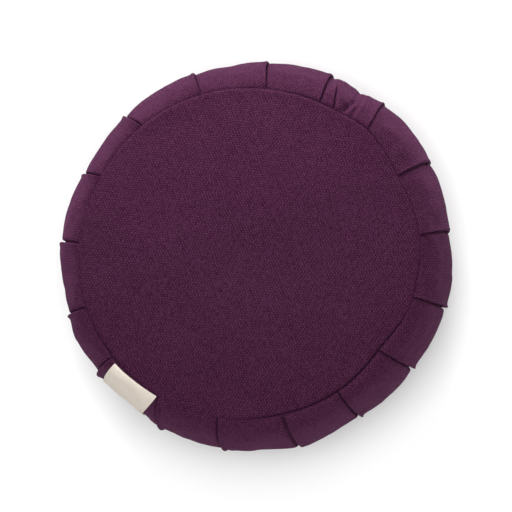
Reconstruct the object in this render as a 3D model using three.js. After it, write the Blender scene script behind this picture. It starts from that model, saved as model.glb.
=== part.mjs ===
import * as THREE from 'three';
import { mergeVertices } from 'three/addons/utils/BufferGeometryUtils.js';

// A round meditation cushion: two rounds of canvas joined by a pleated side wall, filled firm, with a
// plain cloth label caught in the upper seam. It rests on its lower round. Millimetres, +Z up, the
// origin on the floor under the middle of the cushion.

// Heights above the floor
const CROWN_Z = 150;
const TOP_SEAM_Z = 131;
const WIDEST_Z = 68;
const BOTTOM_SEAM_Z = 7;

// Cloth and clearances
const CLOTH = 2;
const LABEL_CLOTH = 1;
const CLEARANCE = 0.3;

// The rounds
const CROWN_POWER = 2.6;
const BOTTOM_TIGHTER = 0.5;
const FLOOR_CONTACT_R = 118;

// The wall leaves each seam at this many degrees from level, and sinks into a groove at the seam
const TOP_LEAVING_ANGLE = 12;
const BOTTOM_LEAVING_ANGLE = 8;
const GROOVE_DEPTH = 2.4;
const GROOVE_REACH = 3.5;

// The folds of the pleats
const FOLD_GAP = 0.9;
const FOLD_TUCK = 7;
const FOLD_FADE = 4;
const FOLD_RETURN = 0.5;
const FOLD_FALL = 0.36;
const FOLD_FALL_POWER = 1.6;
const TUCK_SHARE = 0.3;
const FOLD_MOUTH = 0.6;
const FOLD_BACK = 1.3;
const FOLD_POINTS = 5;

// The label
const LABEL_WIDTH = 44;
const LABEL_PANEL = 11;
const LABEL_SEAM_ANGLE = 228.3;
const LABEL_RIM_ANGLE = 226.5;
const LABEL_START = 0.008;
const LABEL_END = 0.53;
const LABEL_CLEARANCE = 0.6;

// Resolution
const WALL_BANDS = 16;
const ROUND_RINGS = [1, 0.96, 0.86, 0.68, 0.4];
const PANEL_STOPS = [0.2, 0.5, 0.8];
const LABEL_STEPS = 11;
const LABEL_ACROSS = 4;

// One row for each pleat, counter-clockwise from above. Each row names the fold's angle at the upper
// seam and at the widest line, the radius of the seam and of the widest line there, how far the fold
// stands proud, and how much the cloth swells between this fold and the next one.
const PLEATS = [
  { seamAt: 5.3, rimAt: 6.8, seamR: 140.7, rimR: 163.4, proud: 2.6, swell: 1.2 },
  { seamAt: 26.7, rimAt: 27.7, seamR: 137.3, rimR: 166.3, proud: 2.9, swell: 3.2 },
  { seamAt: 45.8, rimAt: 50.5, seamR: 140.4, rimR: 167.4, proud: 2.2, swell: -2.8 },
  { seamAt: 59.3, rimAt: 65.0, seamR: 137.3, rimR: 166.3, proud: 1.7, swell: 0.0 },
  { seamAt: 64.5, rimAt: 67.6, seamR: 136.8, rimR: 165.4, proud: 2.9, swell: 2.2 },
  { seamAt: 83.5, rimAt: 86.5, seamR: 135.9, rimR: 164.4, proud: 2.7, swell: -0.6 },
  { seamAt: 106.4, rimAt: 108.8, seamR: 136.9, rimR: 163.2, proud: 3.1, swell: 2.3 },
  { seamAt: 129.7, rimAt: 132.7, seamR: 138.0, rimR: 162.3, proud: 2.9, swell: -0.4 },
  { seamAt: 151.9, rimAt: 154.0, seamR: 138.4, rimR: 161.5, proud: 3.1, swell: 2.0 },
  { seamAt: 176.0, rimAt: 175.0, seamR: 140.1, rimR: 165.0, proud: 3.0, swell: 1.2 },
  { seamAt: 197.9, rimAt: 196.9, seamR: 141.6, rimR: 163.8, proud: 3.7, swell: 4.0 },
  { seamAt: 217.0, rimAt: 216.4, seamR: 140.4, rimR: 163.2, proud: 3.2, swell: -3.8 },
  { seamAt: 237.3, rimAt: 239.8, seamR: 137.9, rimR: 164.4, proud: 2.4, swell: 0.9 },
  { seamAt: 259.1, rimAt: 260.2, seamR: 136.4, rimR: 163.2, proud: 2.6, swell: -1.0 },
  { seamAt: 281.4, rimAt: 282.6, seamR: 134.4, rimR: 163.2, proud: 2.2, swell: -0.1 },
  { seamAt: 302.6, rimAt: 302.8, seamR: 134.5, rimR: 159.1, proud: 2.9, swell: 1.2 },
  { seamAt: 323.0, rimAt: 324.2, seamR: 133.0, rimR: 161.2, proud: 3.3, swell: 0.7 },
  { seamAt: 344.5, rimAt: 344.6, seamR: 139.5, rimR: 164.4, proud: 3.1, swell: 1.0 },
];

const radians = THREE.MathUtils.degToRad;
const mix = THREE.MathUtils.lerp;
const ease = (x) => THREE.MathUtils.smoothstep(x, 0, 1);

// The pleat after this one, with its angles carried past a full turn where the row starts again
function nextPleat(index) {
  const next = PLEATS[(index + 1) % PLEATS.length];
  const turn = index + 1 < PLEATS.length ? 0 : 360;
  return { ...next, seamAt: next.seamAt + turn, rimAt: next.rimAt + turn };
}

// Height, radius and outward lean of the smooth wall, from 0 at the upper seam to 1 at the lower one
function wallProfile(along, seamR, rimR) {
  const start = radians(TOP_LEAVING_ANGLE);
  const end = Math.PI - radians(BOTTOM_LEAVING_ANGLE);
  const turn = mix(start, end, along);
  const upper = turn < Math.PI / 2;
  const edge = upper ? start : end;
  const seamRadius = upper ? seamR : seamR - BOTTOM_TIGHTER;
  const seamZ = upper ? TOP_SEAM_Z + GROOVE_DEPTH : BOTTOM_SEAM_Z - GROOVE_DEPTH;
  const halfWidth = (rimR - seamRadius) / (1 - Math.sin(edge));
  const halfHeight = (seamZ - WIDEST_Z) / Math.cos(edge);
  const r = rimR - halfWidth * (1 - Math.sin(turn));
  const z = WIDEST_Z + halfHeight * Math.cos(turn);
  const lean = Math.atan2(halfWidth * Math.cos(turn), Math.abs(halfHeight) * Math.sin(turn));
  const nearSeam = Math.hypot(r - seamRadius, z - seamZ);
  return { r, z, lean, nearSeam };
}

// The angle of a fold, part of the way down the wall
function foldAngle(pleat, along) {
  const lean = pleat.rimAt - pleat.seamAt;
  return along < 0.5
    ? pleat.seamAt + lean * ease(along * 2)
    : pleat.rimAt - FOLD_RETURN * lean * ease(along * 2 - 1);
}

// A point of the wall: part of the way across a pleat's panel and part of the way down the wall. It
// stands proud by a height that fades at the seams, is clear of the wall by a fixed height, and is
// turned along the wall by some millimetres.
function wallPoint(index, across, along, { proud = 0, clear = 0, turned = 0 } = {}) {
  const pleat = PLEATS[index];
  const next = nextPleat(index);
  const seamR = mix(pleat.seamR, next.seamR, ease(across));
  const swell = pleat.swell * Math.sin(Math.PI * across) ** 2;
  const rimR = mix(pleat.rimR, next.rimR, ease(across)) + swell;
  const profile = wallProfile(along, seamR, rimR);
  const groove = GROOVE_DEPTH * Math.exp(-profile.nearSeam / GROOVE_REACH);
  const out = proud * (1 - Math.exp(-profile.nearSeam / FOLD_FADE)) + clear;
  const r = profile.r + CLEARANCE + out * Math.cos(profile.lean);
  const upOrDown = Math.sign(0.5 - along);
  const z = profile.z + out * Math.sin(profile.lean) - upOrDown * groove;
  const angle = radians(mix(foldAngle(pleat, along), foldAngle(next, along), across)) + turned / r;
  return new THREE.Vector3(r * Math.cos(angle), r * Math.sin(angle), z);
}

// How proud the cloth of a pleat still stands, part of the way across its panel
function proudAt(index, across) {
  return PLEATS[index].proud * Math.max(0, 1 - across / FOLD_FALL) ** FOLD_FALL_POWER;
}

// One level line round the wall. At each fold the line runs on beneath the pleat, turns back in the
// narrow gap, rounds the edge of the fold and crosses the pleat. At the two seams the folds lie flat
// and close up.
function wallRing(along) {
  const open = along > 0 && along < 1 ? 1 : 0;
  const ring = [];
  PLEATS.forEach((pleat, index) => {
    const add = (across, proud, turned) => {
      ring.push(wallPoint(index, across, along, { proud, turned: open * turned }));
    };
    const edgeR = (pleat.proud - FOLD_GAP) / 2;
    const width = radians(foldAngle(nextPleat(index), along) - foldAngle(pleat, along)) * pleat.rimR;
    add(0, 0, FOLD_MOUTH * edgeR);
    add(0, FOLD_GAP / 3, Math.min(FOLD_TUCK, TUCK_SHARE * width));
    add(0, FOLD_GAP, FOLD_BACK * edgeR);
    add(0, FOLD_GAP + edgeR, 0);
    add(0, pleat.proud, FOLD_BACK * edgeR);
    for (const stop of PANEL_STOPS) add(stop, proudAt(index, stop), 0);
  });
  return ring;
}

// One line round a cloth round, at a share of its seam's radius. The upper round meets the wall at 0
// along it and the lower round at 1.
function roundRing(share, heightAt, { along = 0, wider = 0, stops = [0, ...PANEL_STOPS] } = {}) {
  const ring = [];
  PLEATS.forEach((pleat, index) => {
    const next = nextPleat(index);
    for (const stop of stops) {
      const seamR = mix(pleat.seamR, next.seamR, ease(stop)) - along * BOTTOM_TIGHTER;
      const r = seamR * share + wider;
      const angle = radians(mix(foldAngle(pleat, along), foldAngle(next, along), stop));
      ring.push(new THREE.Vector3(r * Math.cos(angle), r * Math.sin(angle), heightAt(share, r)));
    }
  });
  return ring;
}

// Joins rings of points, listed from below the middle of the piece outwards and up to above its
// middle, into one closed body. Points that fall together are merged and empty faces dropped.
function closedBody(lowPoint, rings, highPoint) {
  const positions = [];
  const face = (a, b, c) => {
    if (a.distanceTo(b) < 1e-4 || b.distanceTo(c) < 1e-4 || c.distanceTo(a) < 1e-4) return;
    for (const p of [a, b, c]) positions.push(p.x, p.y, p.z);
  };
  const around = (ring, visit) => ring.forEach((p, i) => visit(p, ring[(i + 1) % ring.length], i));
  around(rings[0], (p, q) => face(lowPoint, q, p));
  for (let level = 0; level + 1 < rings.length; level += 1) {
    const upper = rings[level + 1];
    around(rings[level], (p, q, i) => {
      const pUp = upper[i];
      const qUp = upper[(i + 1) % upper.length];
      face(p, q, qUp);
      face(p, qUp, pUp);
    });
  }
  around(rings.at(-1), (p, q) => face(highPoint, p, q));
  const geometry = new THREE.BufferGeometry();
  geometry.setAttribute('position', new THREE.Float32BufferAttribute(positions, 3));
  const merged = mergeVertices(geometry, 1e-4);
  merged.computeVertexNormals();
  return merged;
}

// Height of the upper round's face over its span, and of the lower round's underside
function crownHeight(share) {
  return TOP_SEAM_Z + (CROWN_Z - TOP_SEAM_Z) * (1 - share ** CROWN_POWER);
}

function undersideHeight(share, r) {
  const past = Math.max(0, r - FLOOR_CONTACT_R) / (r / share - FLOOR_CONTACT_R);
  return BOTTOM_SEAM_Z * past ** 2;
}

function middle(z) {
  return new THREE.Vector3(0, 0, z);
}

function clothMaterial(name, color, roughness) {
  return new THREE.MeshStandardMaterial({ name, color, roughness, metalness: 0 });
}

const plumCanvas = clothMaterial('plum canvas', 0x57304a, 0.92);
const creamTape = clothMaterial('cream tape', 0xd6ccc1, 0.9);

// The upper round: one crowned sheet out to the seam
function topPanel() {
  const under = (share) => crownHeight(share) - CLOTH;
  const rings = [
    ...ROUND_RINGS.toReversed().map((share) => roundRing(share, under)),
    ...ROUND_RINGS.map((share) => roundRing(share, crownHeight)),
  ];
  return closedBody(middle(under(0)), rings, middle(crownHeight(0)));
}

// The lower round: flat where it rests on the floor, and turned up a little to its seam
function bottomPanel() {
  const inner = (share, r) => undersideHeight(share, r) + CLOTH;
  const rings = [
    ...ROUND_RINGS.toReversed().map((share) => roundRing(share, undersideHeight, { along: 1 })),
    ...ROUND_RINGS.map((share) => roundRing(share, inner, { along: 1 })),
  ];
  return closedBody(middle(0), rings, middle(CLOTH));
}

// The pleated wall with its filling: one filled body between the two rounds, with a lip at each seam
// that the edge of the round sits inside
function filledWall() {
  const stops = [...Array(FOLD_POINTS).fill(0), ...PANEL_STOPS];
  const depth = CLOTH + CLEARANCE;
  const overLower = (share, r) => undersideHeight(share, r) + depth;
  const underUpper = (share) => crownHeight(share) - depth;
  const wider = (share) => (share === 1 ? CLEARANCE : 0);
  const lower = ROUND_RINGS.toReversed().map((share) =>
    roundRing(share, overLower, { along: 1, wider: wider(share), stops }));
  const upper = ROUND_RINGS.map((share) =>
    roundRing(share, underUpper, { wider: wider(share), stops }));
  const wall = [];
  for (let band = WALL_BANDS; band >= 0; band -= 1) {
    wall.push(wallRing((1 - Math.cos(Math.PI * band / WALL_BANDS)) / 2));
  }
  return closedBody(middle(depth), [...lower, ...wall, ...upper], middle(CROWN_Z - depth));
}

// The label: a flat tape that follows the wall from the upper seam to the widest line and hangs plumb
// from there
function label() {
  const next = nextPleat(LABEL_PANEL);
  const pleat = PLEATS[LABEL_PANEL];
  const onWall = (along) => wallProfile(along, pleat.seamR, pleat.rimR);
  const point = (sideways, along, clear) => {
    const level = Math.min(along, 0.5);
    const centre = mix(LABEL_SEAM_ANGLE, LABEL_RIM_ANGLE, ease(level * 2));
    const angle = centre + THREE.MathUtils.radToDeg(sideways / onWall(level).r);
    const from = foldAngle(pleat, level);
    const across = (angle - from) / (foldAngle(next, level) - from);
    const p = wallPoint(LABEL_PANEL, across, level, { proud: proudAt(LABEL_PANEL, across), clear });
    const hang = onWall(level).z - onWall(along).z;
    return new THREE.Vector3(p.x, p.y, p.z - hang);
  };
  const rings = [];
  for (let step = 0; step <= LABEL_STEPS; step += 1) {
    const along = mix(LABEL_START, LABEL_END, step / LABEL_STEPS);
    const inner = [];
    const outer = [];
    for (let i = 0; i <= LABEL_ACROSS; i += 1) {
      const sideways = (i / LABEL_ACROSS - 0.5) * LABEL_WIDTH;
      inner.push(point(sideways, along, LABEL_CLEARANCE));
      outer.push(point(sideways, along, LABEL_CLEARANCE + LABEL_CLOTH));
    }
    rings.push([...inner, ...outer.reverse()]);
  }
  const endPoint = (along) => point(0, along, LABEL_CLEARANCE + LABEL_CLOTH / 2);
  return closedBody(endPoint(LABEL_START), rings, endPoint(LABEL_END));
}

const pieces = {
  filled_wall: [filledWall(), plumCanvas],
  top_panel: [topPanel(), plumCanvas],
  bottom_panel: [bottomPanel(), plumCanvas],
  label: [label(), creamTape],
};

const cushion = new THREE.Group();
for (const [name, [geometry, material]] of Object.entries(pieces)) {
  const mesh = new THREE.Mesh(geometry, material);
  mesh.name = name;
  cushion.add(mesh);
}
export default cushion;
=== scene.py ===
import math
from collections import namedtuple

import bmesh
import bpy
import numpy as np
from mathutils import Matrix, Vector


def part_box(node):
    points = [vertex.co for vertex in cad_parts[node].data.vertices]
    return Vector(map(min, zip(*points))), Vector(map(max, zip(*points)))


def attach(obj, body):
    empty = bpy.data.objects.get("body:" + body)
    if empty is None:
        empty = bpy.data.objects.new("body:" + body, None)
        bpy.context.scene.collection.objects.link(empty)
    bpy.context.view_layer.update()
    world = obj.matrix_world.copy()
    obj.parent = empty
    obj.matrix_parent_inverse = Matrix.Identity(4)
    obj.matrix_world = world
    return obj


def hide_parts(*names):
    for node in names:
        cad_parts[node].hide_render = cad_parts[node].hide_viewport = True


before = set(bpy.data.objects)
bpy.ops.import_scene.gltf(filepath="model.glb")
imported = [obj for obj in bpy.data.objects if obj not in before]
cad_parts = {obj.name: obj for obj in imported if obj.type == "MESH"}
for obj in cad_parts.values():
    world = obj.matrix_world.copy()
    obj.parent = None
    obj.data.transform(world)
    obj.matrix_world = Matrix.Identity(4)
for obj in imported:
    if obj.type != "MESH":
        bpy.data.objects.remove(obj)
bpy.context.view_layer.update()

# Side wall
# One long strip of plum cotton canvas, folded into knife pleats that all lie the same way round, sewn to
# both rounds and filled firm from inside. It bulges past both seams. The folds stay open as dark slits
# from seam to seam, but for one small tuck that soon runs out in the cloth.

mm = 0.001
canvas = 2 * mm
seam_gap = 0.1 * mm
crown_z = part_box("top_panel")[1].z
top_seam_z = 131 * mm
bottom_seam_z = 7 * mm
widest_z = 68 * mm
lower_seam_tighter = 0.5 * mm
top_leaving = math.radians(12)
bottom_leaving = math.radians(8)
groove_depth = 2.4 * mm
groove_reach = 1.0 * mm
gather_height = 0.3 * mm
gather_reach = 4 * mm

# One row for each pleat, counter-clockwise from above: the fold's angle in degrees at the upper seam and
# at the widest line, the radius in millimetres of the seam and of the widest line there, how proud the
# fold stands, how much the cloth swells before the next fold, how hard the seam pulls in, how far down
# the wall the fold stays open, where 9 is all the way, and the width of its slit in millimetres.
Pleat = namedtuple("Pleat", "seam_at rim_at seam_r rim_r proud swell pull open_to slit")
pleats = [
    Pleat(5.3, 6.8, 140.7, 163.2, 1.2, 0.7, 0.3, 9, 1.5),
    Pleat(26.7, 27.7, 137.3, 165.8, 1.6, 2.4, 0.15, 9, 1.4),
    Pleat(45.8, 49.6, 140.4, 167.0, 1.7, -2.8, 0.4, 9, 0.35),
    Pleat(59.3, 64.6, 137.3, 165.6, 1.7, 0.0, 0.35, 0.24, 0.8),
    Pleat(64.5, 66.7, 136.8, 165.4, 1.6, 0.8, 0.5, 9, 0.5),
    Pleat(83.5, 85.8, 135.9, 164.1, 1.6, -1.2, 0.2, 9, 0.9),
    Pleat(106.4, 108.1, 136.9, 162.4, 2.2, 1.5, 0.15, 9, 0.5),
    Pleat(129.7, 132.7, 138.0, 161.8, 2.0, -1.5, 0.15, 9, 0.9),
    Pleat(151.9, 154.0, 138.4, 160.8, 1.9, 1.3, 0.1, 9, 1.5),
    Pleat(176.0, 175.0, 140.1, 164.6, 1.6, -0.2, 0.05, 9, 1.3),
    Pleat(197.9, 196.9, 141.6, 164.0, 2.4, 2.9, 0.5, 9, 1.4),
    Pleat(217.0, 216.4, 140.4, 163.5, 3.2, -3.8, 1.3, 9, 0.8),
    Pleat(237.3, 240.4, 137.9, 163.1, 2.8, 0.3, 0.1, 9, 1.4),
    Pleat(259.1, 260.2, 136.4, 162.7, 2.1, -1.9, 0.05, 9, 1.1),
    Pleat(281.4, 282.6, 134.4, 162.8, 1.2, -0.7, 1.2, 9, 2.6),
    Pleat(302.6, 302.8, 134.5, 158.9, 2.2, 1.7, 2.1, 9, 1.8),
    Pleat(323.0, 324.2, 133.0, 160.7, 2.4, 1.2, 2.1, 9, 1.5),
    Pleat(344.5, 344.6, 139.5, 163.9, 2.6, 1.4, 0.4, 9, 1.4),
]
seam_at, rim_at, seam_r, rim_r, proud, swell, pull, open_to, slit = np.array(pleats).T
seam_turn = np.radians(np.append(seam_at, seam_at[0] + 360))
rim_turn = np.radians(np.append(rim_at, rim_at[0] + 360))
seam_radius = np.append(seam_r, seam_r[0]) * mm
rim_radius = np.append(rim_r, rim_r[0]) * mm
seam_pull = np.append(pull, pull[0])

fold_edge_r = 1.0 * mm
fold_tuck = 11 * mm
fold_fade = 2.5 * mm
fold_return = 0.5
edge_share, edge_flat, edge_fall = 0.7, 1.5 * mm, 2.2 * mm
slope_share, slope_reach, slope_power = 0.3, 0.36, 1.6
slit_depth = 5.5 * mm
slit_full_width = 0.8
slit_shallower = 0.55
slit_mouth = 0.45 * mm
slit_lip = 0.35 * mm
slit_lip_reach = 2.2 * mm


def mix(a, b, share):
    return a + (b - a) * share


def ease(x):
    x = np.clip(x, 0, 1)
    return x * x * (3 - 2 * x)


def soft_waves(across_cloth, down_cloth, length, seed, stretch=1.0):
    """Gentle unevenness from -1 to 1: a few crossing waves of about one length, drawn out down the cloth."""
    pick = np.random.RandomState(seed)
    total = 0.0
    for wave in range(9):
        heading = pick.uniform(0, 2 * math.pi)
        size = length * pick.uniform(0.7, 1.6)
        place = across_cloth * math.cos(heading) + down_cloth * math.sin(heading) / stretch
        total = total + np.cos(2 * math.pi * place / size + pick.uniform(0, 2 * math.pi))
    return total / 4.5


def stitch_pull(turn):
    """How far the stitches of a seam gather the cloth at an angle round it, from 0 to 1."""
    pick = np.random.RandomState(7)
    total = 0.0
    for waves in (131, 157, 173, 199, 227):
        total = total + np.cos(waves * turn + pick.uniform(0, 2 * math.pi))
    return 0.5 + total / 10


def fold_angle(fold, along):
    """The angle of a fold, part of the way from the upper seam to the lower one."""
    lean = rim_turn[fold] - seam_turn[fold]
    upper = seam_turn[fold] + lean * np.sin(np.pi * along)
    lower = rim_turn[fold] - fold_return * lean * ease(along * 2 - 1)
    return np.where(along < 0.5, upper, lower)


def wall_profile(along, seam_r_here, rim_r_here, groove):
    """Radius, height, outward lean and distance from the nearer seam of the smooth wall."""
    start, end = top_leaving, math.pi - bottom_leaving
    turn = mix(start, end, along)
    upper = turn < math.pi / 2
    edge = np.where(upper, start, end)
    seam_r_here = np.where(upper, seam_r_here, seam_r_here - lower_seam_tighter)
    seam_z = np.where(upper, top_seam_z + groove, bottom_seam_z - groove)
    half_width = (rim_r_here - seam_r_here) / (1 - np.sin(edge))
    half_height = (seam_z - widest_z) / np.cos(edge)
    r = rim_r_here - half_width * (1 - np.sin(turn))
    z = widest_z + half_height * np.cos(turn)
    lean = np.arctan2(half_width * np.cos(turn), np.abs(half_height) * np.sin(turn))
    return r, z, lean, np.hypot(r - seam_r_here, z - seam_z)


def wall_point(fold, across, along, standing=0.0, clear=0.0, turned=0.0):
    """Points of the wall, part of the way across a pleat and down the wall. Cloth that stands out of the
    smooth wall lies down at the seams; clear is a height that doesn't; turned moves a point round."""
    seam_r_here = mix(seam_radius[fold], seam_radius[fold + 1], ease(across))
    bulge = swell[fold] * mm * np.sin(np.pi * np.clip(across, 0, 1)) ** 2
    rim_r_here = mix(rim_radius[fold], rim_radius[fold + 1], ease(across)) + bulge
    groove = groove_depth * mix(seam_pull[fold], seam_pull[fold + 1], ease(across))
    r, z, lean, near = wall_profile(along, seam_r_here, rim_r_here, groove)
    turn = mix(fold_angle(fold, along), fold_angle(fold + 1, along), across)
    groove = groove * np.exp(-near / groove_reach)
    gathers = gather_height * stitch_pull(turn) * np.exp(-near / gather_reach) * (near > 0)
    out = standing * (1 - np.exp(-near / fold_fade)) - gathers + clear
    r = r + seam_gap + out * np.cos(lean)
    z = z + out * np.sin(lean) - np.sign(0.5 - along) * groove
    turn = turn + turned / r
    return np.stack([r * np.cos(turn), r * np.sin(turn), z], axis=-1)


def still_open(fold, along):
    """1 where a fold stands open, and 0 from where it has run out in the cloth."""
    return 1 - ease((along - 0.7 * open_to[fold]) / (0.3 * open_to[fold]))


def slit_fall(fold, along):
    """How deep a slit is: deepest near the seams, shallow at the widest line and where it is narrow."""
    fullness = np.minimum(1, slit[fold] / slit_full_width)
    return slit_depth * fullness * (1 - slit_shallower * np.sin(np.pi * along))


# The soft lines that a few pleats carry: the pleat, how high or deep its line is in millimetres, where it
# begins across the pleat, how it leans, half its width and how far down the wall it runs
puckered = [
    (2, 1.3, 0.85, 0.00, 0.09, 0.8),
    (2, -3.4, 0.76, -1.35, 0.07, 0.8),
    (2, 1.3, 0.59, -0.70, 0.035, 0.8),
    (2, -1.0, 0.46, -0.34, 0.05, 0.7),
    (2, 0.8, 0.38, -0.30, 0.035, 0.8),
    (4, -0.9, 0.74, 0.00, 0.04, 0.2),
    (12, -1.2, 0.08, 0.00, 0.035, 1.2),
    (13, -1.2, 0.08, 0.00, 0.035, 1.2),
]


def crease(across, along, centre, lean, half_width, reach):
    """A soft line in the cloth from the upper seam down, 1 along its middle and 0 beyond its edges."""
    aside = (across - centre - lean * np.minimum(along, 0.2)) / half_width
    return np.exp(-aside ** 2) * (1 - ease(along / reach))


def over_its_fold(fold, across, from_edge):
    """How far a pleat stands out over its fold: a thick edge, then a long slope down to its panel."""
    past_flat = np.clip(from_edge - edge_flat, 0, None)
    thick_edge = edge_share * np.exp(-(past_flat / edge_fall) ** 1.5)
    long_slope = slope_share * np.clip(1 - across / slope_reach, 0, 1) ** slope_power
    return proud[fold] * mm * (thick_edge + long_slope)


def into_slit(fold, across, along):
    """How far the end of a pleat goes down into the slit of the next one."""
    next_fold = (fold + 1) % len(pleats)
    before_fold = (1 - across) * (rim_turn[fold + 1] - rim_turn[fold]) * rim_radius[fold]
    depth = slit_fall(next_fold, along) * np.exp(-before_fold / slit_mouth)
    lip = slit_lip * np.exp(-before_fold / slit_lip_reach)
    return (depth + lip) * still_open(next_fold, along)


layers_show = 0.5 * mm
uneven_height, uneven_size = 0.3 * mm, 26 * mm
drawn_height, drawn_size = 0.35 * mm, 11 * mm


def cloth_relief(fold, across, along):
    """How far a pleat stands out of the smooth wall: over its folds, over the layers that lie beneath
    it, and in the soft wrinkles of the filled cloth."""
    width = (rim_turn[fold + 1] - rim_turn[fold]) * rim_radius[fold]
    over_fold = over_its_fold(fold, across, across * width) * still_open(fold, along)
    over_layers = layers_show * (1 - ease((across - 0.38) / 0.1))
    across_cloth = fold * 0.1 + across * width
    down_cloth = along * 0.16
    uneven = uneven_height * soft_waves(across_cloth, down_cloth, uneven_size, 3, 1.6)
    drawn = drawn_height * soft_waves(across_cloth, down_cloth, drawn_size, 5, 4.0)
    drawn = drawn * (np.exp(-along / 0.12) + np.exp(-(1 - along) / 0.12))
    edge = ease(across / 0.06) * ease((1 - across) / 0.06)
    puckers = 0
    for pleat, height, centre, lean, half_width, reach in puckered:
        line = height * mm * crease(across, along, centre, lean, half_width, reach)
        puckers = puckers + np.where(fold == pleat, line, 0)
    wrinkles = edge * (over_layers + uneven + drawn + puckers) + blown_rumples(fold, across, along)
    return over_fold + wrinkles


# Blender's cloth simulation rumples the panels: a coarse copy of the wall, a little roomier than the shape
# it fills, is held at its seams and folds and blown out
blown_columns = 16
blown_rows = 60
blown_frames = 20
blown_pressure = 4
roomier = 0.06
rumple_share = 0.5
rumple_cap = 1.5 * mm


def blown_out(points, held):
    """Where the points of a ring of cloth go when it is blown out, rows of them from the bottom up."""
    levels, around = points.shape[:2]
    index = np.arange(levels * around).reshape(levels, around)
    beside = np.roll(index, -1, axis=1)
    faces = np.stack([index[:-1], beside[:-1], beside[1:], index[1:]], axis=-1).reshape(-1, 4).tolist()
    mesh = bpy.data.meshes.new("blown_cloth")
    mesh.from_pydata(points.reshape(-1, 3).tolist(), [], faces)
    cloth = bpy.data.objects.new("blown_cloth", mesh)
    bpy.context.collection.objects.link(cloth)
    cloth.vertex_groups.new(name="held").add(index[held].tolist(), 1.0, "REPLACE")
    settings = cloth.modifiers.new("blown", "CLOTH").settings
    settings.vertex_group_mass = "held"
    settings.use_pressure = True
    settings.uniform_pressure_force = blown_pressure
    settings.effector_weights.gravity = 0
    settings.shrink_min = -roomier
    settings.quality = 5
    for step in range(1, blown_frames + 1):
        bpy.context.scene.frame_set(step)
    blown = cloth.evaluated_get(bpy.context.evaluated_depsgraph_get())
    places = np.empty(points.size)
    blown.data.vertices.foreach_get("co", places)
    bpy.context.scene.frame_set(1)
    bpy.data.objects.remove(cloth)
    return places.reshape(points.shape)


blown_along = np.linspace(1, 0, blown_rows + 1)[:, None]
blown_fold = np.repeat(np.arange(len(pleats)), blown_columns)
blown_across = np.tile(np.arange(blown_columns) / blown_columns, len(pleats))
before = wall_point(blown_fold, blown_across, blown_along)
rumples = np.zeros(before.shape[:2])
held = (blown_across == 0) | (blown_along == 0) | (blown_along == 1)
upward = np.gradient(before, axis=0)
onward = np.roll(before, -1, axis=1) - np.roll(before, 1, axis=1)
outward = np.cross(onward, upward)
outward = outward / np.linalg.norm(outward, axis=-1, keepdims=True)
rumples = ((blown_out(before, held) - before) * outward).sum(axis=-1)
every_panel = rumples.reshape(blown_rows + 1, len(pleats), blown_columns).mean(axis=1)
rumples = rumple_share * (rumples - np.tile(every_panel, len(pleats)))
beside = np.roll(rumples, 1, axis=1) + np.roll(rumples, -1, axis=1)
rumples[:, blown_across > 0] = (rumples / 2 + beside / 4)[:, blown_across > 0]
rumples[1:-1] = rumples[1:-1] / 2 + (rumples[2:] + rumples[:-2]) / 4
rumples = np.clip(rumples, -rumple_cap, rumple_cap)


def blown_rumples(fold, across, along):
    """The simulated rumples at a place on the wall, between the nearest points of the coarse copy."""
    column = fold * blown_columns + np.clip(across, 0, 1) * blown_columns
    row = (1 - along) * blown_rows + 0 * column
    left, low = np.floor(column).astype(int), np.minimum(np.floor(row).astype(int), blown_rows - 1)
    aside, up = column - left, row - low
    left, next_left = left % rumples.shape[1], (left + 1) % rumples.shape[1]
    lower = mix(rumples[low, left], rumples[low, next_left], aside)
    higher = mix(rumples[low + 1, left], rumples[low + 1, next_left], aside)
    return mix(lower, higher, up)


wall_rows = 96
panel_columns = 24
puckered_panel = 2
puckered_columns = 64
share = np.linspace(0, 1, wall_rows + 1)
row_along = mix(share, (1 - np.cos(np.pi * share)) / 2, 0.7)[::-1, None]

# Each pleat's line round the wall: down into the slit, under the fold, back beneath it, up the side of
# the slit, round the edge of the fold and across its face
Stop = namedtuple("Stop", "fold across turned standing depth")
stops = []
for fold, pleat in enumerate(pleats):
    top = pleat.proud * mm
    width = (rim_turn[fold + 1] - rim_turn[fold]) * rim_radius[fold]
    tuck = min(fold_tuck, 0.3 * width)
    slit_width = pleat.slit * mm
    for reach in (0.02, 0.1, 0.3, 0.65):
        stops.append(Stop(fold, 0, reach * tuck, -slit_lip, 1))
    stops.append(Stop(fold, 0, tuck, -0.4 * slit_lip, 1))
    for reach in (0.75, 0.45, 0.25):
        stops.append(Stop(fold, 0, reach * tuck, 0, 1))
    side_top = top - fold_edge_r
    for rise in (0.1, 0.35, 0.6, 0.85):
        stops.append(Stop(fold, 0, slit_width * mix(1.3, 1, rise), side_top * rise, 1 - rise))
    for angle in np.radians(range(0, 91, 18)):
        inward = fold_edge_r * (1 - math.cos(angle))
        rise = side_top + fold_edge_r * math.sin(angle)
        stops.append(Stop(fold, 0, slit_width + inward, rise, 0))
    first = (slit_width + 1.6 * fold_edge_r) / width
    columns = puckered_columns if fold == puckered_panel else panel_columns
    for step in np.linspace(0, 1, columns) ** 1.35:
        stops.append(Stop(fold, mix(first, 0.93, step), 0, np.nan, 0))
    for step in (0.945, 0.96, 0.972, 0.982, 0.99, 0.996, 1):
        stops.append(Stop(fold, step, 0, np.nan, 0))
fold, across, turned, standing, depth = np.array(stops).T
fold = fold.astype(int)
still = still_open(fold, row_along)
relief = cloth_relief(fold, across, row_along) - into_slit(fold, across, row_along)
standing = np.where(np.isnan(standing), relief, (standing - depth * slit_fall(fold, row_along)) * still)
open_fold = (row_along > 0) & (row_along < 1)
wall_grid = wall_point(fold, across, row_along, standing, 0.0, np.where(open_fold, turned * still, 0.0))

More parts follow.
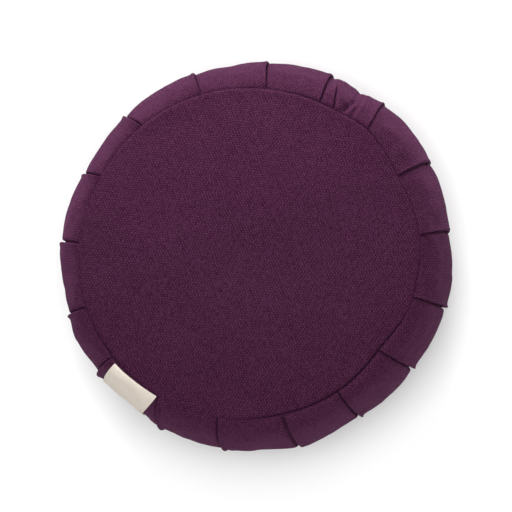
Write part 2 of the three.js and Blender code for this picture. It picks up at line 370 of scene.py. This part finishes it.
# Where each point lies on the flat strip, in metres: its threads run straight from seam to seam
strip_down = np.append(0, np.cumsum(np.linalg.norm(np.diff(wall_grid, axis=0), axis=2).mean(axis=1)))
panel_width = (fold_angle(fold + 1, row_along) - fold_angle(fold, row_along)) * np.hypot(
    wall_grid[..., 0], wall_grid[..., 1]
)
strip_across = fold * 0.1 + (across - 0.5) * panel_width + turned
wall_uv = np.stack([strip_down[:, None] + 0 * strip_across, strip_across], axis=-1)


def seam_line(turn, along):
    """The seam's radius at angles round it, 0 for the upper seam and 1 for the lower one, and its pull."""
    folds = np.array([fold_angle(i, along) for i in range(len(pleats) + 1)]).ravel()
    turn = (turn - folds[0]) % (2 * math.pi) + folds[0]
    here = np.clip(np.searchsorted(folds, turn, side="right") - 1, 0, len(pleats) - 1)
    across = ease((turn - folds[here]) / (folds[here + 1] - folds[here]))
    radius = mix(seam_radius[here], seam_radius[here + 1], across) - along * lower_seam_tighter
    return radius, mix(seam_pull[here], seam_pull[here + 1], across)


def crown_height(share):
    """Height of the upper round's face, from 0 at its middle to 1 at its seam."""
    return top_seam_z + (crown_z - top_seam_z) * (1 - share ** 2.6)


floor_contact_r = 118 * mm


def underside_height(share, r):
    """Height of the lower round's underside: flat on the floor, and turned up to its seam."""
    past = np.clip(r - floor_contact_r, 0, None) / (r / share - floor_contact_r)
    return bottom_seam_z * past ** 2


def turn_round(turn, r, z):
    """Points at angles round the cushion."""
    return np.stack([r * np.cos(turn), r * np.sin(turn), z + 0 * turn], axis=-1)


def ringed_body(name, low_middle, rings, high_middle, uv):
    """A closed body from rings of points, given from below its middle outwards and up to above it."""
    levels, around = rings.shape[:2]
    index = np.arange(levels * around).reshape(levels, around)
    beside = np.roll(index, -1, axis=1)
    faces = np.stack([index[:-1], beside[:-1], beside[1:], index[1:]], axis=-1).reshape(-1, 4).tolist()
    low, high = levels * around, levels * around + 1
    faces += [(low, b, a) for a, b in zip(index[0].tolist(), beside[0].tolist())]
    faces += [(high, a, b) for a, b in zip(index[-1].tolist(), beside[-1].tolist())]
    points = np.vstack([rings.reshape(-1, 3), [(0, 0, low_middle), (0, 0, high_middle)]])
    middle_uv = [uv[0].mean(axis=0), uv[-1].mean(axis=0)]
    return cloth_piece(name, points, faces, np.vstack([uv.reshape(-1, 2), middle_uv]))


def cloth_piece(name, points, faces, uv):
    """A smooth piece whose map, named Cloth, is the place of its points on the flat cloth in metres."""
    mesh = bpy.data.meshes.new(name)
    mesh.from_pydata(points.tolist(), [], faces)
    corners = np.empty(len(mesh.loops), dtype=int)
    mesh.loops.foreach_get("vertex_index", corners)
    mesh.uv_layers.new(name="Cloth").data.foreach_set("uv", uv[corners].ravel())
    build = bmesh.new()
    build.from_mesh(mesh)
    bmesh.ops.remove_doubles(build, verts=build.verts, dist=1e-6)
    build.to_mesh(mesh)
    build.free()
    mesh.shade_smooth()
    piece = bpy.data.objects.new(name, mesh)
    bpy.context.collection.objects.link(piece)
    return piece


# The filling closes the wall above and below, just inside the two rounds
cap_shares = np.array([0.25, 0.6, 0.9, 1.0])[:, None]
below_seam = 5 * mm
wider = np.where(cap_shares == 1, seam_gap, 0)
inside = canvas + seam_gap
low_turn = np.arctan2(wall_grid[0, :, 1], wall_grid[0, :, 0])
low_r = (np.hypot(wall_grid[0, :, 0], wall_grid[0, :, 1]) - seam_gap) * cap_shares
low_rings = turn_round(low_turn, low_r + wider, underside_height(cap_shares, low_r) + inside)
high_turn = np.arctan2(wall_grid[-1, :, 1], wall_grid[-1, :, 0])
high_r = (np.hypot(wall_grid[-1, :, 0], wall_grid[-1, :, 1]) - seam_gap) * cap_shares[::-1]
sunk = inside + below_seam * cap_shares[::-1] ** 6
high_rings = turn_round(high_turn, high_r + wider[::-1], crown_height(cap_shares[::-1]) - sunk)
wall_rings = np.vstack([low_rings, wall_grid, high_rings])
cap_uv = [ring[:, :2] for ring in low_rings], [ring[:, :2] for ring in high_rings]
side_wall = ringed_body(
    "pleated_wall", inside, wall_rings, crown_z - inside, np.vstack([cap_uv[0], wall_uv, cap_uv[1]])
)


def maths(tree, operation, *values):
    """A Math node on numbers or the outputs of other nodes."""
    node = tree.nodes.new("ShaderNodeMath")
    node.operation = operation
    for socket, value in zip(node.inputs, values):
        if isinstance(value, bpy.types.NodeSocket):
            tree.links.new(value, socket)
        else:
            socket.default_value = value
    return node.outputs[0]


def noise(tree, place, scale, detail, roughness=0.5):
    """A Noise Texture at a place, from 0 to 1."""
    node = tree.nodes.new("ShaderNodeTexNoise")
    node.inputs["Scale"].default_value = scale
    node.inputs["Detail"].default_value = detail
    node.inputs["Roughness"].default_value = roughness
    tree.links.new(place, node.inputs["Vector"])
    return node.outputs["Fac"]


def joined(tree, x, y):
    """Two numbers as one vector."""
    node = tree.nodes.new("ShaderNodeCombineXYZ")
    tree.links.new(x, node.inputs[0])
    tree.links.new(y, node.inputs[1])
    return node.outputs[0]


def woven_cloth(name, column_pitch, row_pitch, highlit_thread, shaded_gap, fuzz, height, sheen, slub):
    """A plain weave laid on the Cloth map: columns of thread pass over and under rows, each thread a little
    uneven in tone. The colour is painted shade between the threads and a whitened painted highlight on their
    crests, with a soft fuzz on top."""
    material = bpy.data.materials.new(name)
    material.use_nodes = True
    tree = material.node_tree
    shader = tree.nodes["Principled BSDF"]
    cloth = tree.nodes.new("ShaderNodeUVMap")
    cloth.uv_map = "Cloth"
    split = tree.nodes.new("ShaderNodeSeparateXYZ")
    tree.links.new(cloth.outputs[0], split.inputs[0])
    drift = maths(tree, "SUBTRACT", noise(tree, cloth.outputs[0], 90, 2), 0.5)
    x = maths(tree, "MULTIPLY_ADD", drift, slub, maths(tree, "DIVIDE", split.outputs[0], column_pitch))
    y = maths(tree, "MULTIPLY_ADD", drift, -slub, maths(tree, "DIVIDE", split.outputs[1], row_pitch))
    column, row = maths(tree, "FLOOR", x), maths(tree, "FLOOR", y)

    def thread_height(beside, along, number):
        rounded = maths(tree, "SINE", maths(tree, "MULTIPLY", maths(tree, "FRACT", beside), math.pi))
        rounded = maths(tree, "POWER", rounded, 0.65)
        turn = maths(tree, "MULTIPLY", maths(tree, "ADD", along, number), math.pi)
        over = maths(tree, "MULTIPLY_ADD", maths(tree, "SINE", turn), 0.5, 0.5)
        return maths(tree, "MULTIPLY", rounded, over)

    columns = thread_height(x, y, column)
    rows = thread_height(y, x, maths(tree, "ADD", row, 1))
    weave = maths(tree, "MAXIMUM", columns, rows)
    column_slubs = noise(tree, joined(tree, maths(tree, "MULTIPLY", column, 7.3), y), 0.6, 2)
    row_slubs = noise(tree, joined(tree, x, maths(tree, "MULTIPLY", row, 5.9)), 0.6, 2)
    on_top = maths(tree, "GREATER_THAN", columns, rows)
    picked = tree.nodes.new("ShaderNodeMix")
    tree.links.new(on_top, picked.inputs[0])
    tree.links.new(row_slubs, picked.inputs[2])
    tree.links.new(column_slubs, picked.inputs[3])
    slubs = picked.outputs[0]
    patches = noise(tree, cloth.outputs[0], 14, 3)
    uneven = maths(tree, "MULTIPLY_ADD", patches, 0.15, maths(tree, "MULTIPLY", slubs, 1.2))
    # Painted highlight: the crests of the columns are lighter where they pass over the rows
    uneven = maths(tree, "MULTIPLY_ADD", on_top, 0.28, uneven)
    # The threads' height lightens their crests and darkens the gaps: painted highlight and painted shade,
    # mixed with the slubs and patches, which are the yarn's own uneven tone
    shade = maths(tree, "SUBTRACT", maths(tree, "MULTIPLY_ADD", weave, 0.7, uneven), 0.7)
    # The ramp runs from the painted shade colour between the threads to the thread colour, whitened as a
    # painted highlight
    tone = tree.nodes.new("ShaderNodeValToRGB")
    tone.color_ramp.elements[0].position = 0.25
    tone.color_ramp.elements[0].color = (*shaded_gap, 1)
    tone.color_ramp.elements[1].position = 1.0
    tone.color_ramp.elements[1].color = (*highlit_thread, 1)
    tree.links.new(shade, tone.inputs[0])
    tree.links.new(tone.outputs[0], shader.inputs["Base Color"])
    bump = tree.nodes.new("ShaderNodeBump")
    bump.inputs["Strength"].default_value = 0.8
    bump.inputs["Distance"].default_value = height
    tree.links.new(maths(tree, "MULTIPLY_ADD", slubs, 0.5, weave), bump.inputs["Height"])
    tree.links.new(bump.outputs[0], shader.inputs["Normal"])
    shader.inputs["Roughness"].default_value = 0.9
    shader.inputs["Specular IOR Level"].default_value = 0.04
    shader.inputs["Sheen Weight"].default_value = sheen
    shader.inputs["Sheen Roughness"].default_value = 0.3
    shader.inputs["Sheen Tint"].default_value = (*fuzz, 1)
    return material


plum_canvas = woven_cloth(
    "plum_canvas",
    column_pitch=1.26 * mm,
    row_pitch=1.91 * mm,
    # thread is the plum yarn whitened as a painted highlight; gap is painted shade between the threads
    highlit_thread=(0.0870, 0.0262, 0.0635),
    shaded_gap=(0.0262, 0.0030, 0.0168),
    fuzz=(0.60, 0.17, 0.46),
    height=0.6 * mm,
    sheen=0.18,
    slub=1.2,
)
side_wall.data.materials.append(plum_canvas)
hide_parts("filled_wall")
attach(side_wall, "root")

# Upper round
# The seat of the cushion: one circle of the same canvas, laid with its rows of thread a little off
# level, and pushed up into a low crown by the filling. It rolls over at its edge, where the seam pulls
# a shallow dip into it.

around = 540
turn = np.arange(around) * 2 * math.pi / around
rings = 44
share = np.linspace(0, 1, rings + 1)[1:]
share = mix(share, np.sin(share * math.pi / 2), 0.85)[:, None]
edge_radius, edge_pull = seam_line(turn, 0.0)
least_roll, most_roll = 0.15 * mm, 2.6 * mm
roll_width, roll_reach = 1.7 * mm, 6 * mm
dip_depth, dip_reach = 1.8 * mm, 0.9 * mm


def upper_face(share):
    """The upper round's face: crowned, gently uneven, and drawn down to its seam."""
    r = edge_radius * share
    x, y = r * np.cos(turn), r * np.sin(turn)
    from_edge = edge_radius - r
    uneven = 0.5 * mm * soft_waves(x, y, 90 * mm, 11) + 0.2 * mm * soft_waves(x, y, 30 * mm, 12)
    uneven = uneven * ease(from_edge / (12 * mm))
    rolled = mix(least_roll, most_roll, ease((np.sin(turn + 0.2) - 0.2) / 0.6))
    roll = rolled * (1 - np.exp(-((from_edge / roll_width) ** 2))) * np.exp(-from_edge / roll_reach)
    dip = dip_depth * edge_pull * np.exp(-((from_edge / dip_reach) ** 2)) - roll
    gathers = gather_height * stitch_pull(turn) * np.exp(-from_edge / (3 * mm)) * (from_edge > 0)
    return turn_round(turn, r, crown_height(share) + uneven - dip - gathers)


tilt = math.radians(7)
top_face = upper_face(share)
under_face = top_face - (0, 0, canvas)
top_rings = np.vstack([under_face, top_face[::-1]])
top_uv = np.stack(
    [
        top_rings[..., 0] * math.cos(tilt) - top_rings[..., 1] * math.sin(tilt),
        top_rings[..., 0] * math.sin(tilt) + top_rings[..., 1] * math.cos(tilt),
    ],
    axis=-1,
)
upper_round = ringed_body("upper_round", crown_z - canvas, top_rings, crown_z, top_uv)
upper_round.data.materials.append(plum_canvas)
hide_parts("top_panel")
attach(upper_round, "root")

# Lower round
# A second circle of canvas, flat where the cushion rests on the floor and turned up a little to the
# lower seam.

lower_radius = seam_line(turn, 1.0)[0]
lower_r = lower_radius * share
outer_face = turn_round(turn, lower_r, underside_height(share, lower_r))
inner_face = outer_face + (0, 0, canvas)
low_rings = np.vstack([outer_face, inner_face[::-1]])
lower_round = ringed_body("lower_round", 0, low_rings, canvas, low_rings[..., :2].copy())
lower_round.data.materials.append(plum_canvas)
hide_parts("bottom_panel")
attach(lower_round, "root")

# Label
# A length of cream cotton tape, caught by its end in the upper seam over one pleat. It follows the wall
# to its widest line and hangs plumb from there. It is blank.

tape = 1 * mm
tape_clear = 0.6 * mm
label_width = 44 * mm
label_panel = 11
label_seam_turn = math.radians(228.3)
label_rim_turn = math.radians(226.5)
label_from, label_to = 0.008, 0.53
label_rows = 60
label_columns = 96
edge_turned_back = 2.6 * mm
down = mix(label_from, label_to, np.linspace(0, 1, label_rows + 1))[:, None]
sideways = mix(-0.5, 0.5, np.linspace(0, 1, label_columns + 1))[None, :] * label_width
woven_edges = 0
for line in (1.6 * mm, 3.2 * mm):
    beside = (np.abs(sideways) - label_width / 2 + line) / (0.45 * mm)
    woven_edges = woven_edges - 0.4 * mm * np.exp(-beside ** 2)


def label_face(clear):
    """The label's points at a height clear of the pleat beneath it."""
    level = np.minimum(down, 0.5)
    groove = groove_depth * seam_pull[label_panel]
    smooth_r, smooth_z, lean, near = wall_profile(
        level, seam_radius[label_panel], rim_radius[label_panel], groove
    )
    hang_z = wall_profile(down, seam_radius[label_panel], rim_radius[label_panel], groove)[1]
    middle_turn = mix(label_seam_turn, label_rim_turn, ease(level * 2))
    from_turn = fold_angle(label_panel, level)
    to_turn = fold_angle(label_panel + 1, level)
    curl = edge_turned_back * ease(-2 * sideways / label_width) ** 2 * ease((down - 0.1) / 0.35)
    across = (middle_turn + (sideways + curl) / smooth_r - from_turn) / (to_turn - from_turn)
    level = level + 0 * across
    relief = cloth_relief(label_panel + np.zeros(across.shape, dtype=int), across, level)
    on_wall = wall_point(label_panel, across, level, relief, clear)
    on_wall[..., 2] += hang_z - smooth_z
    return on_wall


front, back = label_face(tape_clear + tape + woven_edges), label_face(tape_clear)
middle_line = np.diff(front[:, label_columns // 2], axis=0)
label_down = np.append(0, np.cumsum(np.linalg.norm(middle_line, axis=1)))
label_uv = np.stack([sideways + 0 * down, label_down[:, None] + 0 * sideways], axis=-1)
rows, columns = front.shape[:2]
index = np.arange(rows * columns).reshape(rows, columns)
face = np.stack([index[:-1, :-1], index[1:, :-1], index[1:, 1:], index[:-1, 1:]], axis=-1)
face = face.reshape(-1, 4)
rim = np.concatenate([index[0, :-1], index[:-1, -1], index[-1, :0:-1], index[:0:-1, 0]])
rim_next = np.roll(rim, -1)
offset = rows * columns
side = np.stack([rim, rim_next, rim_next + offset, rim + offset], axis=-1)
label_faces = np.vstack([face, face[:, ::-1] + offset, side]).tolist()
label_points = np.vstack([front.reshape(-1, 3), back.reshape(-1, 3)])
label = cloth_piece(
    "cloth_label", label_points, label_faces, np.vstack([label_uv.reshape(-1, 2), label_uv.reshape(-1, 2)])
)
cream_tape = woven_cloth(
    "cream_tape",
    column_pitch=0.5 * mm,
    row_pitch=0.45 * mm,
    # thread is the cream yarn with a painted highlight on its crests; gap is painted shade between the
    # threads
    highlit_thread=(0.75, 0.68, 0.60),
    shaded_gap=(0.61, 0.54, 0.47),
    fuzz=(0.9, 0.85, 0.8),
    height=0.06 * mm,
    sheen=0.1,
    slub=0.5,
)
label.data.materials.append(cream_tape)
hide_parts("label")
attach(label, "root")

# Studio
# A plain pale floor under even light from all round. A wide soft light hangs overhead, and a low one
# beyond the top of the picture brightens that side of the wall.

floor_reach = 4
floor_z = -0.3 * mm
floor_mesh = bpy.data.meshes.new("floor")
corners = [(-1, -1), (1, -1), (1, 1), (-1, 1)]
floor_mesh.from_pydata([(floor_reach * x, floor_reach * y, floor_z) for x, y in corners], [], [(0, 1, 2, 3)])
floor = bpy.data.objects.new("floor", floor_mesh)
bpy.context.collection.objects.link(floor)
pale = bpy.data.materials.new("pale_floor")
pale.use_nodes = True
pale_shader = pale.node_tree.nodes["Principled BSDF"]
pale_shader.inputs["Base Color"].default_value = (0.93, 0.93, 0.93, 1)
pale_shader.inputs["Roughness"].default_value = 0.8
floor.data.materials.append(pale)

world = bpy.context.scene.world or bpy.data.worlds.new("soft_room")
bpy.context.scene.world = world
world.use_nodes = True
world.node_tree.nodes["Background"].inputs["Color"].default_value = (1, 1, 1, 1)
world.node_tree.nodes["Background"].inputs["Strength"].default_value = 0.46


def soft_light(name, place, size, power):
    """A square light at a place, turned to the cushion."""
    lamp = bpy.data.lights.new(name, "AREA")
    lamp.shape = "SQUARE"
    lamp.size = size
    lamp.energy = power
    light = bpy.data.objects.new(name, lamp)
    light.location = place
    light.rotation_mode = "QUATERNION"
    light.rotation_quaternion = (Vector(place) - Vector((0, 0, 0.07))).to_track_quat("Z", "Y")
    bpy.context.collection.objects.link(light)


soft_light("overhead", (0.1, -0.1, 2.1), 1.5, 36)
soft_light("window", (-0.32, 1.97, 0.24), 1.0, 76)

# Camera
# Almost straight above, a little to the cushion's right and nearer its lower edge, with +Y up the
# picture.

look_at = Vector((-0.0001, 0.0013, 0.069))
away = 2.0
azimuth = math.radians(61)
elevation = math.radians(83.2)
back = Vector(
    (
        math.sin(azimuth) * math.cos(elevation),
        -math.cos(azimuth) * math.cos(elevation),
        math.sin(elevation),
    )
)
right = Vector((0, 1, 0)).cross(back).normalized()
up = back.cross(right)
lens = bpy.data.cameras.new("camera")
lens.sensor_width = 36
lens.lens = 166.8
lens.clip_end = 50
camera = bpy.data.objects.new("camera", lens)
camera.matrix_world = Matrix.Translation(look_at + back * away) @ Matrix(
    (right, up, back)
).transposed().to_4x4()
bpy.context.collection.objects.link(camera)
bpy.context.scene.camera = camera
bpy.context.scene.view_settings.view_transform = "Standard"
